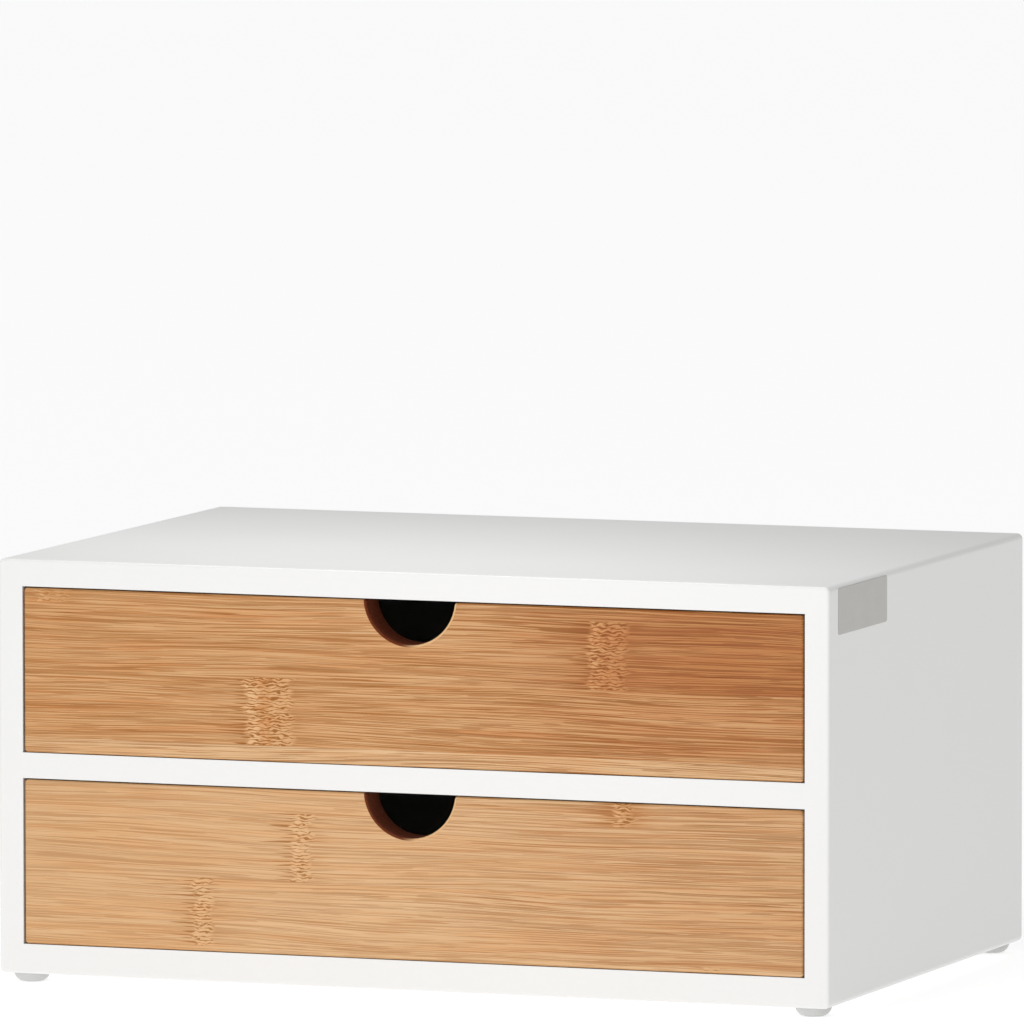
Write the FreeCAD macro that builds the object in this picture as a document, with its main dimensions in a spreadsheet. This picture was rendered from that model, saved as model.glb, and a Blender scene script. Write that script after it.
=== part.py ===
import FreeCAD, Part
import os
import Sketcher

# Coffee capsule organizer: a lacquered board carcase on four bumper feet, with two
# stacked drawers that slide wood on wood. Millimetres, +Z up, -Y is the front. The
# origin is on the ground, under the middle of the carcase.

# Driving dimensions: alias, size, and what it is.
SIZES = [
    ("carcase_width", 308, "outside, left to right"),
    ("carcase_depth", 210, "outside, front to back"),
    ("carcase_height", 146, "outside, without the feet"),
    ("side_board", 9, "thickness of the left and right panels"),
    ("top_board", 9.5, "thickness of the top panel"),
    ("bottom_board", 10.5, "thickness of the bottom panel"),
    ("shelf_board", 9, "thickness of the middle shelf"),
    ("back_board", 3, "thickness of the back panel"),
    ("long_edge_round", 2, "rounding of the four long outer edges"),
    ("rim_round", 1, "rounding of the front and back outer rims"),
    ("shelf_housing", 3, "depth of the shelf's housing in each side"),
    ("back_rebate", 4.5, "width of the rebate that takes the back panel"),
    ("back_fit", 0.3, "gap round the back panel in its rebate"),
    ("foot_width", 12.7, "diameter of a foot where it is stuck on"),
    ("foot_height", 3.5, "height of a foot"),
    ("foot_rim", 0.5, "straight wall of a foot under the panel"),
    ("foot_flat", 5.2, "diameter of the flat that a foot stands on"),
    ("foot_inset", 8.7, "foot centre to the outside edges"),
    ("dowel_width", 5, "diameter of a fluted dowel, over its ridges"),
    ("dowel_fit", 0.1, "how much wider a dowel's hole is"),
    ("glue_gap", 0.5, "space left for glue at the end of a hole"),
    ("hole_skin", 2.5, "board left beyond a blind dowel hole"),
    ("carcase_dowel", 25, "length of a carcase dowel"),
    ("carcase_dowel_inset", 32, "outermost carcase dowel to the rim"),
    ("front_board", 12, "thickness of a bamboo drawer front"),
    ("drawer_board", 9, "thickness of a drawer's sides and back"),
    ("front_lap", 5, "how far a drawer side reaches into the front's rebate"),
    ("back_housing", 3, "depth of the back's housing in each drawer side"),
    ("back_setback", 6, "drawer back to the rear ends of the sides"),
    ("drawer_base", 3, "thickness of a drawer's base"),
    ("base_groove", 4, "depth of the groove that holds the base"),
    ("base_raise", 5, "base above the drawer's lower edges"),
    ("base_fit", 0.3, "gap round the base in its groove"),
    ("front_side_gap", 0.6, "drawer front to the carcase side"),
    ("front_top_gap", 0.5, "drawer front to the board above it"),
    ("front_bottom_gap", 0.15, "drawer front to the board under it"),
    ("runner_gap", 1, "drawer side to the carcase side"),
    ("side_headroom", 8.5, "drawer side to the board above it"),
    ("closed_gap", 0.3, "closed drawer to the carcase's back panel"),
    ("corner_round", 1.2, "rounding of a drawer front's corners"),
    ("front_ease", 0.8, "rounding of a drawer front's visible edges"),
    ("board_ease", 0.8, "rounding of the drawer sides' top edges"),
    ("finger_radius", 16.5, "radius of the finger cut-out"),
    ("finger_rise", 1.2, "its centre above the drawer front's top edge"),
    ("finger_ease", 1, "rounding where it meets the top edge"),
]
CARCASE_DOWELS_IN_A_ROW = 2
FOOT_CHORDS = 2
DOWEL_FLUTES = 12

doc = FreeCAD.newDocument("capsule_organizer")
sheet = doc.addObject("Spreadsheet::Sheet", "Sizes")
for row, (alias, size, meaning) in enumerate(SIZES, start=1):
    sheet.set("A%d" % row, str(size))
    sheet.setAlias("A%d" % row, alias)
    sheet.set("B%d" % row, meaning)
doc.recompute()


def of_sheet(text):
    """Write each alias in an expression as a cell of the sheet."""
    for alias in sorted((row[0] for row in SIZES), key=len, reverse=True):
        text = text.replace("<" + alias + ">", "Sizes." + alias)
    return text


def number(text):
    """The value of an expression at the present sizes."""
    return float(sheet.evalExpression(of_sheet(text)))


def bind(thing, name, text):
    """Tie a property to an expression on the sheet."""
    thing.setExpression(name, of_sheet(text))


# Lengths that several pieces share, from the sheet.
OPENING_WIDTH = "(<carcase_width> - 2 * <side_board>)"
OPENING_HEIGHT = "((<carcase_height> - <top_board> - <shelf_board> - <bottom_board>) / 2)"
SHELF_TOP = "(<bottom_board> + " + OPENING_HEIGHT + " + <shelf_board>)"
TOP_FACE = "(<carcase_height> - <top_board>)"
SIDE_HEIGHT = "(<carcase_height> - <top_board> - <bottom_board>)"
DRAWER_LENGTH = "(<carcase_depth> - <back_board> - <closed_gap>)"
FRONT_WIDTH = "(" + OPENING_WIDTH + " - 2 * <front_side_gap>)"
FRONT_TOP = "(" + OPENING_HEIGHT + " - <front_top_gap>)"
BOX_WIDTH = "(" + OPENING_WIDTH + " - 2 * <runner_gap>)"
INSIDE_WIDTH = "(" + BOX_WIDTH + " - 2 * <drawer_board>)"
DRAWER_SIDE_HEIGHT = "(" + OPENING_HEIGHT + " - <side_headroom>)"
SIDE_START = "(<front_board> - <front_lap>)"
BACK_START = "(" + DRAWER_LENGTH + " - <back_setback> - <drawer_board>)"
HOLE_WIDTH = "(<dowel_width> + <dowel_fit>)"

# A foot's curve is part of a circle that leaves the standing flat level.
FOOT_RUN = "((<foot_width> - <foot_flat>) / 2)"
FOOT_DROP = "(<foot_height> - <foot_rim>)"
FOOT_BEND = "((" + FOOT_RUN + " ^ 2 + " + FOOT_DROP + " ^ 2) / (2 * " + FOOT_DROP + "))"
FOOT_TURN = "2 * atan(" + FOOT_DROP + " / " + FOOT_RUN + ")"


def new_body(label, height):
    """An empty body whose own frame starts mid-front, at a height above the ground."""
    body = doc.addObject("PartDesign::Body", label)
    body.Label = label
    bind(body, "Placement.Base.y", "-<carcase_depth> / 2")
    bind(body, "Placement.Base.z", height)
    return body


def origin_part(body, role):
    """A plane or an axis of the body's own origin."""
    return next(part for part in body.Origin.OriginFeatures if part.Role == role)


def new_sketch(body, name, role, across, up, out):
    """A sketch on an origin plane, its own origin moved across, up and off the plane."""
    sketch = body.newObject("Sketcher::SketchObject", name)
    sketch.AttachmentSupport = (origin_part(body, role), [""])
    sketch.MapMode = "FlatFace"
    bind(sketch, "AttachmentOffset.Base.x", across)
    bind(sketch, "AttachmentOffset.Base.y", up)
    bind(sketch, "AttachmentOffset.Base.z", out)
    return sketch


def constrain(sketch, name, text, kind, *ends):
    """Add a named dimension that follows the sheet."""
    index = sketch.addConstraint(Sketcher.Constraint(kind, *ends, number(text)))
    sketch.renameConstraint(index, name)
    bind(sketch, "Constraints." + name, text)


def draw_rectangle(sketch, width, height):
    """A rectangle that rises from the sketch's origin."""
    wide, high = number(width), number(height)
    corners = [(0, 0), (wide, 0), (wide, high), (0, high)]
    points = [FreeCAD.Vector(x, y, 0) for x, y in corners]
    for index in range(4):
        line = Part.LineSegment(points[index], points[(index + 1) % 4])
        sketch.addGeometry(line, False)
    for index in range(4):
        sketch.addConstraint(Sketcher.Constraint("Coincident", index, 2, (index + 1) % 4, 1))
    for index, direction in enumerate(["Horizontal", "Vertical", "Horizontal", "Vertical"]):
        sketch.addConstraint(Sketcher.Constraint(direction, index))
    sketch.addConstraint(Sketcher.Constraint("Coincident", 0, 1, -1, 1))
    constrain(sketch, "width", width, "DistanceX", 0, 1, 0, 2)
    constrain(sketch, "height", height, "DistanceY", 1, 1, 1, 2)


def draw_circle(sketch, diameter):
    """A circle round the sketch's origin."""
    circle = Part.Circle(FreeCAD.Vector(0, 0, 0), FreeCAD.Vector(0, 0, 1), number(diameter) / 2)
    sketch.addGeometry(circle, False)
    sketch.addConstraint(Sketcher.Constraint("Coincident", 0, 3, -1, 1))
    constrain(sketch, "diameter", diameter, "Diameter", 0)


def draw_outline(sketch, corners):
    """A closed outline with straight sides, its corners across and up from the sketch's origin."""
    points = [FreeCAD.Vector(number(across), number(up), 0) for across, up in corners]
    for index, point in enumerate(points):
        sketch.addGeometry(Part.LineSegment(point, points[(index + 1) % len(points)]), False)
    for index, point in enumerate(points):
        following = (index + 1) % len(points)
        sketch.addConstraint(Sketcher.Constraint("Coincident", index, 2, following, 1))
        if near(point.x, 0):
            sketch.addConstraint(Sketcher.Constraint("PointOnObject", index, 1, -2))
        else:
            constrain(sketch, "across_%d" % index, corners[index][0], "DistanceX", -1, 1, index, 1)
        if near(point.y, 0):
            sketch.addConstraint(Sketcher.Constraint("PointOnObject", index, 1, -1))
        else:
            constrain(sketch, "up_%d" % index, corners[index][1], "DistanceY", -1, 1, index, 1)


def extrude(body, kind, name, sketch, length, backwards=False):
    """Pad or pocket a sketch by a length that follows the sheet."""
    before = body.Shape.Volume if body.Tip else 0
    feature = body.newObject("PartDesign::" + kind, name)
    feature.Profile = sketch
    feature.Reversed = backwards
    bind(feature, "Length", length)
    body.Tip = feature
    doc.recompute()
    change = body.Shape.Volume - before
    if (kind == "Pad") != (change > 0):
        raise RuntimeError(body.Label + ": " + name + " changed nothing")
    return feature


def add_board(body, name, low, size):
    """Pad a rectangle upwards from its low corner."""
    sketch = new_sketch(body, name + "_outline", "XY_Plane", low[0], low[1], low[2])
    draw_rectangle(sketch, size[0], size[1])
    return extrude(body, "Pad", name, sketch, size[2])


def cut_slot(body, name, low, size):
    """Pocket a rectangle downwards from the top of the slot."""
    ceiling = low[2] + " + " + size[2]
    sketch = new_sketch(body, name + "_outline", "XY_Plane", low[0], low[1], ceiling)
    draw_rectangle(sketch, size[0], size[1])
    return extrude(body, "Pocket", name, sketch, size[2])


def repeat(body, name, feature, runs):
    """Copy a feature along one or two axes: role, length and count for each."""
    pattern = body.newObject("PartDesign::LinearPattern", name)
    pattern.Originals = [feature]
    for suffix, (role, length, count) in zip(["", "2"], runs):
        setattr(pattern, "Direction" + suffix, (origin_part(body, role), [""]))
        setattr(pattern, "Occurrences" + suffix, count)
        bind(pattern, "Length" + suffix, length)
    before = body.Shape.Volume
    body.Tip = pattern
    doc.recompute()
    if abs(body.Shape.Volume - before) < 1e-6:
        raise RuntimeError(body.Label + ": " + name + " changed nothing")
    return pattern


def round_edges(body, name, radius, wanted):
    """Fillet the edges whose box meets a test."""
    base = body.Tip
    names = []
    for index, edge in enumerate(base.Shape.Edges, start=1):
        if wanted(edge.BoundBox):
            names.append("Edge%d" % index)
    if not names:
        raise RuntimeError(body.Label + ": no edge for " + name)
    fillet = body.newObject("PartDesign::Fillet", name)
    fillet.Base = (base, names)
    bind(fillet, "Radius", radius)
    body.Tip = fillet
    doc.recompute()
    return fillet


def near(first, second):
    """True where two coordinates are the same place."""
    return abs(first - second) < 1e-4


# The carcase. Its own frame starts mid-front, on the underside of the bottom panel.

def new_carcase_body(label):
    return new_body(label, "<foot_height>")


def round_outer_edges(body, outer_height):
    """Round the long outer edges of the top or bottom panel, then its two rims."""
    half = number("<carcase_width> / 2")
    depth = number("<carcase_depth>")
    outer = number(outer_height)

    def long_edge(box):
        at_side = near(abs(box.XMin), half) and near(box.XMin, box.XMax)
        return at_side and near(box.ZMin, outer) and near(box.ZMax, outer)

    def rim_edge(box):
        at_end = near(box.YMin, box.YMax) and (near(box.YMin, 0) or near(box.YMin, depth))
        on_outline = near(box.XMax, half) and near(box.XMin, half)
        on_outline = on_outline or (near(box.XMax, -half) and near(box.XMin, -half))
        on_face = near(box.ZMin, outer) and near(box.ZMax, outer)
        small = number("<long_edge_round>") + 1e-3
        on_corner = box.XLength < small and box.ZLength < small and box.XLength > 1e-3
        on_corner = on_corner and box.ZLength > 1e-3
        return at_end and (on_outline or on_face or on_corner)

    round_edges(body, "long_edges", "<long_edge_round>", long_edge)
    round_edges(body, "rims", "<rim_round>", rim_edge)


def drill_dowel_rows(body, face, upwards, depth):
    """Vertical blind holes for the dowels over both side panels."""
    across = "-(<carcase_width> - <side_board>) / 2"
    sketch = new_sketch(body, "dowel_hole_circle", "XY_Plane", across, "<carcase_dowel_inset>", face)
    draw_circle(sketch, HOLE_WIDTH)
    hole = extrude(body, "Pocket", "dowel_hole", sketch, depth, backwards=upwards)
    along = ("Y_Axis", "<carcase_depth> - 2 * <carcase_dowel_inset>", CARCASE_DOWELS_IN_A_ROW)
    over = ("X_Axis", "<carcase_width> - <side_board>", 2)
    repeat(body, "dowel_holes", hole, [along, over])


def cut_back_rebate(body, low_z):
    """The rebate in the top or bottom panel that takes the back panel's edge."""
    low = ("-" + OPENING_WIDTH + " / 2 - <back_rebate>", "<carcase_depth> - <back_board>", low_z)
    size = (OPENING_WIDTH + " + 2 * <back_rebate>", "<back_board>", "<back_rebate>")
    cut_slot(body, "back_rebate_slot", low, size)


def make_top_panel():
    body = new_carcase_body("top_panel")
    low = ("-<carcase_width> / 2", "0", TOP_FACE)
    add_board(body, "board", low, ("<carcase_width>", "<carcase_depth>", "<top_board>"))
    round_outer_edges(body, "<carcase_height>")
    drill_dowel_rows(body, TOP_FACE, True, "<top_board> - <hole_skin>")
    cut_back_rebate(body, TOP_FACE)
    return body


def make_bottom_panel():
    body = new_carcase_body("bottom_panel")
    low = ("-<carcase_width> / 2", "0", "0")
    add_board(body, "board", low, ("<carcase_width>", "<carcase_depth>", "<bottom_board>"))
    round_outer_edges(body, "0")
    drill_dowel_rows(body, "<bottom_board>", False, "<bottom_board> - <hole_skin>")
    cut_back_rebate(body, "<bottom_board> - <back_rebate>")
    return body


def make_side_panel(label, side):
    """A side panel with the shelf's housing, the back rebate and end holes for dowels."""
    body = new_carcase_body(label)
    outside = "<carcase_width> / 2"
    inside = OPENING_WIDTH + " / 2"
    low_x = "-" + outside if side < 0 else inside
    low = (low_x, "0", "<bottom_board>")
    add_board(body, "board", low, ("<side_board>", "<carcase_depth>", SIDE_HEIGHT))

    half = number(outside)
    depth = number("<carcase_depth>")

    def outer_rim(box):
        at_end = near(box.YMin, box.YMax) and (near(box.YMin, 0) or near(box.YMin, depth))
        return at_end and near(box.XMin, side * half) and near(box.XMax, side * half)

    round_edges(body, "rims", "<rim_round>", outer_rim)

    housing_x = "-" + inside + " - <shelf_housing>" if side < 0 else inside
    housing_low = (housing_x, "0", "<bottom_board> + " + OPENING_HEIGHT)
    housing_size = ("<shelf_housing>", "<carcase_depth> - <back_board>", "<shelf_board>")
    cut_slot(body, "housing", housing_low, housing_size)

    rebate_x = "-" + inside + " - <back_rebate>" if side < 0 else inside
    rebate_low = (rebate_x, "<carcase_depth> - <back_board>", "<bottom_board>")
    cut_slot(body, "rebate", rebate_low, ("<back_rebate>", "<back_board>", SIDE_HEIGHT))

    across = ("-" if side < 0 else "") + "(<carcase_width> - <side_board>) / 2"
    ends = [
        ("lower", "<bottom_board>", True, "<bottom_board>"),
        ("upper", TOP_FACE, False, "<top_board>"),
    ]
    for name, face, upwards, board in ends:
        sketch = new_sketch(
            body, name + "_hole_circle", "XY_Plane", across, "<carcase_dowel_inset>", face
        )
        draw_circle(sketch, HOLE_WIDTH)
        depth_in_side = "<carcase_dowel> - (" + board + " - <hole_skin>) + 2 * <glue_gap>"
        hole = extrude(body, "Pocket", name + "_hole", sketch, depth_in_side, backwards=upwards)
        along = ("Y_Axis", "<carcase_depth> - 2 * <carcase_dowel_inset>", CARCASE_DOWELS_IN_A_ROW)
        repeat(body, name + "_holes", hole, [along])
    return body


def make_middle_shelf():
    body = new_carcase_body("middle_shelf")
    half_width = "(" + OPENING_WIDTH + " / 2 + <shelf_housing>)"
    low = ("-" + half_width, "0", "<bottom_board> + " + OPENING_HEIGHT)
    size = ("2 * " + half_width, "<carcase_depth> - <back_board>", "<shelf_board>")
    add_board(body, "board", low, size)
    return body


def make_back_panel():
    body = new_carcase_body("back_panel")
    half_width = "(" + OPENING_WIDTH + " / 2 + <back_rebate> - <back_fit>)"
    low_z = "<bottom_board> - <back_rebate> + <back_fit>"
    low = ("-" + half_width, "<carcase_depth> - <back_board>", low_z)
    height = SIDE_HEIGHT + " + 2 * (<back_rebate> - <back_fit>)"
    add_board(body, "board", low, ("2 * " + half_width, "<back_board>", height))
    return body


def make_carcase_dowels():
    """Glued dowels that join the side panels to the top and bottom panels."""
    body = new_carcase_body("carcase_dowels")
    across = "-(<carcase_width> - <side_board>) / 2"
    rows = [
        ("lower", "<hole_skin> + <glue_gap>"),
        ("upper", "<carcase_height> - <hole_skin> - <glue_gap> - <carcase_dowel>"),
    ]
    for name, start in rows:
        sketch = new_sketch(body, name + "_circle", "XY_Plane", across, "<carcase_dowel_inset>", start)
        ridges = []
        for index in range(DOWEL_FLUTES):
            angle = "(%d * 360 / %d)" % (index, DOWEL_FLUTES)
            ridges.append(("<dowel_width> / 2 * cos" + angle, "<dowel_width> / 2 * sin" + angle))
        draw_outline(sketch, ridges)
        dowel = extrude(body, "Pad", name + "_dowel", sketch, "<carcase_dowel>")
        along = ("Y_Axis", "<carcase_depth> - 2 * <carcase_dowel_inset>", CARCASE_DOWELS_IN_A_ROW)
        over = ("X_Axis", "<carcase_width> - <side_board>", 2)
        repeat(body, name + "_row", dowel, [along, over])
    return body


def make_foot(label, side, far):
    """A stick-on bumper: a short wall that curves in to the flat that it stands on."""
    body = doc.addObject("PartDesign::Body", label)
    body.Label = label
    sign = "-" if side < 0 else ""
    bind(body, "Placement.Base.x", sign + "(<carcase_width> / 2 - <foot_inset>)")
    toward = "" if far else "-"
    bind(body, "Placement.Base.y", toward + "(<carcase_depth> / 2 - <foot_inset>)")
    bind(body, "Placement.Base.z", "<foot_height>")

    # The outline from the middle of the stuck face, out, and round to the standing flat.
    outline = [("0", "0"), ("<foot_width> / 2", "0")]
    for step in range(FOOT_CHORDS, -1, -1):
        angle = "(" + FOOT_TURN + " * %d / %d)" % (step, FOOT_CHORDS)
        out = "<foot_flat> / 2 + " + FOOT_BEND + " * sin" + angle
        up = FOOT_BEND + " * (1 - cos" + angle + ") - <foot_height>"
        outline.append((out, up))
    outline.append(("0", "-<foot_height>"))

    sketch = new_sketch(body, "half_section", "XZ_Plane", "0", "0", "0")
    draw_outline(sketch, outline)

    turned = body.newObject("PartDesign::Revolution", "dome")
    turned.Profile = sketch
    turned.ReferenceAxis = (sketch, ["V_Axis"])
    turned.Angle = 360
    body.Tip = turned
    return body


# A drawer. Its own frame starts mid-front, on the board that it slides on.

def new_drawer_body(label, floor):
    return new_body(label, "<foot_height> + " + floor)


def make_drawer_front(label, floor):
    """The bamboo front: eased edges, a half-round finger cut-out and the base's groove."""
    body = new_drawer_body(label, floor)
    half = "(" + FRONT_WIDTH + " / 2)"
    low = ("-" + half, "0", "<front_bottom_gap>")
    height = FRONT_TOP + " - <front_bottom_gap>"
    add_board(body, "board", low, (FRONT_WIDTH, "<front_board>", height))

    centre_z = FRONT_TOP + " + <finger_rise>"
    sketch = new_sketch(body, "finger_circle", "XZ_Plane", "0", centre_z, "0")
    draw_circle(sketch, "2 * <finger_radius>")
    extrude(body, "Pocket", "finger_cut_out", sketch, "<front_board>")

    wide = number(half)
    top = number(FRONT_TOP)
    low_edge = number("<front_bottom_gap>")
    reach = number("<finger_radius>")

    def corner_edge(box):
        straight = box.XLength < 1e-4 and box.ZLength < 1e-4
        at_end = near(abs(box.XMin), wide) and (near(box.ZMin, top) or near(box.ZMin, low_edge))
        return straight and at_end

    def finger_corner(box):
        straight = box.XLength < 1e-4 and box.ZLength < 1e-4
        return straight and near(box.ZMin, top) and abs(box.XMin) < reach

    def front_outline(box):
        return near(box.YMin, 0) and near(box.YMax, 0)

    round_edges(body, "corners", "<corner_round>", corner_edge)
    round_edges(body, "finger_corners", "<finger_ease>", finger_corner)
    round_edges(body, "eased_front", "<front_ease>", front_outline)

    groove_low = (
        "-(" + INSIDE_WIDTH + " / 2 + <base_groove>)",
        "<front_board> - <base_groove>",
        "<base_raise>",
    )
    groove_size = (INSIDE_WIDTH + " + 2 * <base_groove>", "<base_groove>", "<drawer_base>")
    cut_slot(body, "groove", groove_low, groove_size)

    rebate_width = "(" + FRONT_WIDTH + " - " + INSIDE_WIDTH + ") / 2"
    rebate_height = DRAWER_SIDE_HEIGHT + " - <front_bottom_gap>"
    for name, rebate_x in (("left", "-" + half), ("right", INSIDE_WIDTH + " / 2")):
        rebate_low = (rebate_x, SIDE_START, "<front_bottom_gap>")
        cut_slot(body, name + "_rebate", rebate_low, (rebate_width, "<front_lap>", rebate_height))
    return body


def make_drawer_side(label, floor, side):
    """A drawer side with the base's groove and the back's housing in its inner face."""
    body = new_drawer_body(label, floor)
    outer = "(" + BOX_WIDTH + " / 2)"
    inner = "(" + INSIDE_WIDTH + " / 2)"
    low_x = "-" + outer if side < 0 else inner
    length = DRAWER_LENGTH + " - " + SIDE_START
    low = (low_x, SIDE_START, "0")
    add_board(body, "board", low, ("<drawer_board>", length, DRAWER_SIDE_HEIGHT))

    high = number(DRAWER_SIDE_HEIGHT)
    front_end = number(SIDE_START)
    round_edges(
        body, "eased_top", "<board_ease>",
        lambda box: near(box.ZMin, high) and near(box.ZMax, high) and not near(box.YMax, front_end),
    )

    groove_x = "-" + inner + " - <base_groove>" if side < 0 else inner
    groove_size = ("<base_groove>", length, "<drawer_base>")
    cut_slot(body, "groove", (groove_x, SIDE_START, "<base_raise>"), groove_size)

    housing_x = "-" + inner + " - <back_housing>" if side < 0 else inner
    housing_size = ("<back_housing>", "<drawer_board>", DRAWER_SIDE_HEIGHT)
    cut_slot(body, "housing", (housing_x, BACK_START, "0"), housing_size)
    return body


def make_drawer_back(label, floor):
    """The drawer's back, its ends housed in the sides."""
    body = new_drawer_body(label, floor)
    half = "(" + INSIDE_WIDTH + " / 2 + <back_housing>)"
    low = ("-" + half, BACK_START, "0")
    add_board(body, "board", low, ("2 * " + half, "<drawer_board>", DRAWER_SIDE_HEIGHT))
    groove_size = ("2 * " + half, "<base_groove>", "<drawer_base>")
    cut_slot(body, "groove", ("-" + half, BACK_START, "<base_raise>"), groove_size)

    high = number(DRAWER_SIDE_HEIGHT)
    round_edges(
        body, "eased_top", "<board_ease>",
        lambda box: near(box.ZMin, high) and near(box.ZMax, high) and near(box.YMin, box.YMax),
    )
    return body


def make_drawer_bottom(label, floor):
    """The thin base that sits in the grooves of the four boards round it."""
    body = new_drawer_body(label, floor)
    reach = "(<base_groove> - <base_fit>)"
    half = "(" + INSIDE_WIDTH + " / 2 + " + reach + ")"
    low = ("-" + half, "<front_board> - " + reach, "<base_raise>")
    length = BACK_START + " - <front_board> + 2 * " + reach
    add_board(body, "board", low, ("2 * " + half, length, "<drawer_base>"))
    return body


def make_drawer(name, floor):
    """One whole drawer."""
    return [
        make_drawer_front(name + "_drawer_front", floor),
        make_drawer_side(name + "_drawer_left_side", floor, -1),
        make_drawer_side(name + "_drawer_right_side", floor, 1),
        make_drawer_back(name + "_drawer_back", floor),
        make_drawer_bottom(name + "_drawer_bottom", floor),
    ]


pieces = [
    make_top_panel(),
    make_bottom_panel(),
    make_side_panel("left_side_panel", -1),
    make_side_panel("right_side_panel", 1),
    make_middle_shelf(),
    make_back_panel(),
    make_carcase_dowels(),
    make_foot("front_left_foot", -1, False),
    make_foot("front_right_foot", 1, False),
    make_foot("rear_left_foot", -1, True),
    make_foot("rear_right_foot", 1, True),
]
pieces += make_drawer("lower", "<bottom_board>")
pieces += make_drawer("upper", SHELF_TOP)
doc.recompute()

for thing in doc.Objects:
    if "Invalid" in thing.State or "Error" in thing.State:
        raise RuntimeError(thing.Label + " failed: " + str(thing.State))
for piece in pieces:
    if piece.Shape.isNull() or not piece.Shape.isValid():
        raise RuntimeError(piece.Label + " has no valid shape")

os.makedirs("parts", exist_ok=True)
for piece in pieces:
    piece.Shape.exportStep(os.path.join("parts", piece.Label + ".step"))
    box = piece.Shape.BoundBox
    print(
        "%-26s %2d solid(s) %9.1f mm3  x %7.2f %7.2f  y %7.2f %7.2f  z %6.2f %6.2f"
        % (
            piece.Label, len(piece.Shape.Solids), piece.Shape.Volume,
            box.XMin, box.XMax, box.YMin, box.YMax, box.ZMin, box.ZMax,
        )
    )
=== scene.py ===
import bpy
import numpy as np
from bpy.props import FloatProperty, FloatVectorProperty, IntProperty, PointerProperty
from mathutils import Matrix, Vector


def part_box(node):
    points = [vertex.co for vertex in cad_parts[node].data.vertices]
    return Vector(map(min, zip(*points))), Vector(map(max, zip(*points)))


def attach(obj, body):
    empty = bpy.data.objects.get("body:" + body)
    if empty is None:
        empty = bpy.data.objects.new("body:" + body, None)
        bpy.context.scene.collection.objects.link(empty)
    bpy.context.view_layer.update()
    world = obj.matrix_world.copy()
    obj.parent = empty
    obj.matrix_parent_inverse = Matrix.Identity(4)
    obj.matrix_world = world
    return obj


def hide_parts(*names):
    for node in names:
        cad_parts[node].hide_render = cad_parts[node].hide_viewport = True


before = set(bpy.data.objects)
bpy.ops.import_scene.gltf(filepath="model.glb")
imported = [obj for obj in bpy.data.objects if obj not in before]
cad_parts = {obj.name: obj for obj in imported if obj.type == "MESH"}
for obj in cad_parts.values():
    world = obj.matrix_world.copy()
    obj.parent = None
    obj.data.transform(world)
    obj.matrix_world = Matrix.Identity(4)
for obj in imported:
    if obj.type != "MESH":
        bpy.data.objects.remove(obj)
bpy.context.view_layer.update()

bl_info = {
    "name": "Coffee capsule organizer finishes",
    "version": (1, 0, 0),
    "blender": (4, 5, 0),
    "location": "3D View > Sidebar > Organizer",
    "description": "Finishes, small fittings and a studio for a two-drawer capsule organizer",
    "category": "Object",
}

MILLIMETRE = 0.001
CORNER_FEET = ("front_left_foot", "front_right_foot", "rear_left_foot", "rear_right_foot")
CARCASE_BOARDS = ("top_panel", "bottom_panel", "left_side_panel", "right_side_panel", "middle_shelf")
DRAWERS = ("lower", "upper")


# Settings

class OrganizerSizes(bpy.types.PropertyGroup):
    """Sizes of what is added to the boards."""

    foot_flat: FloatProperty(
        name="Foot flat", description="Diameter that a foot stands on",
        default=0.0052, unit="LENGTH")
    foot_rim: FloatProperty(
        name="Foot wall", description="Straight wall of a foot under the bottom panel",
        default=0.0005, unit="LENGTH")
    foot_turns: IntProperty(
        name="Foot steps", description="Steps round a foot", default=72, min=12)
    plate_length: FloatProperty(
        name="Plate length", description="Length of the foil plate on the right side",
        default=0.0515, unit="LENGTH")
    plate_height: FloatProperty(
        name="Plate height", description="Height of the foil plate",
        default=0.0162, unit="LENGTH")
    plate_corner: FloatProperty(
        name="Plate corner", description="Radius of the foil plate's corners",
        default=0.0011, unit="LENGTH")
    plate_thickness: FloatProperty(
        name="Plate thickness", description="How far the foil plate stands off the lacquer",
        default=0.00015, unit="LENGTH")
    plate_setback: FloatProperty(
        name="Plate setback", description="Front of the carcase to the foil plate",
        default=0.00895, unit="LENGTH")
    plate_drop: FloatProperty(
        name="Plate drop", description="Top of the carcase to the foil plate",
        default=0.0012, unit="LENGTH")
    finger_radius: FloatProperty(
        name="Cut-out radius", description="Radius of the finger cut-outs",
        default=0.0165, unit="LENGTH")
    finger_rise: FloatProperty(
        name="Cut-out centre", description="Centre of a finger cut-out above its drawer front",
        default=0.0012, unit="LENGTH")
    front_ease: FloatProperty(
        name="Front rounding", description="Rounding of a drawer front's visible edges",
        default=0.0008, unit="LENGTH")
    brad_head: FloatProperty(
        name="Brad head", description="Diameter of a brad's head on the back panel",
        default=0.0024, unit="LENGTH")
    brad_rise: FloatProperty(
        name="Brad rise", description="How far a brad's head stands off the back panel",
        default=0.00035, unit="LENGTH")


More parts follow.
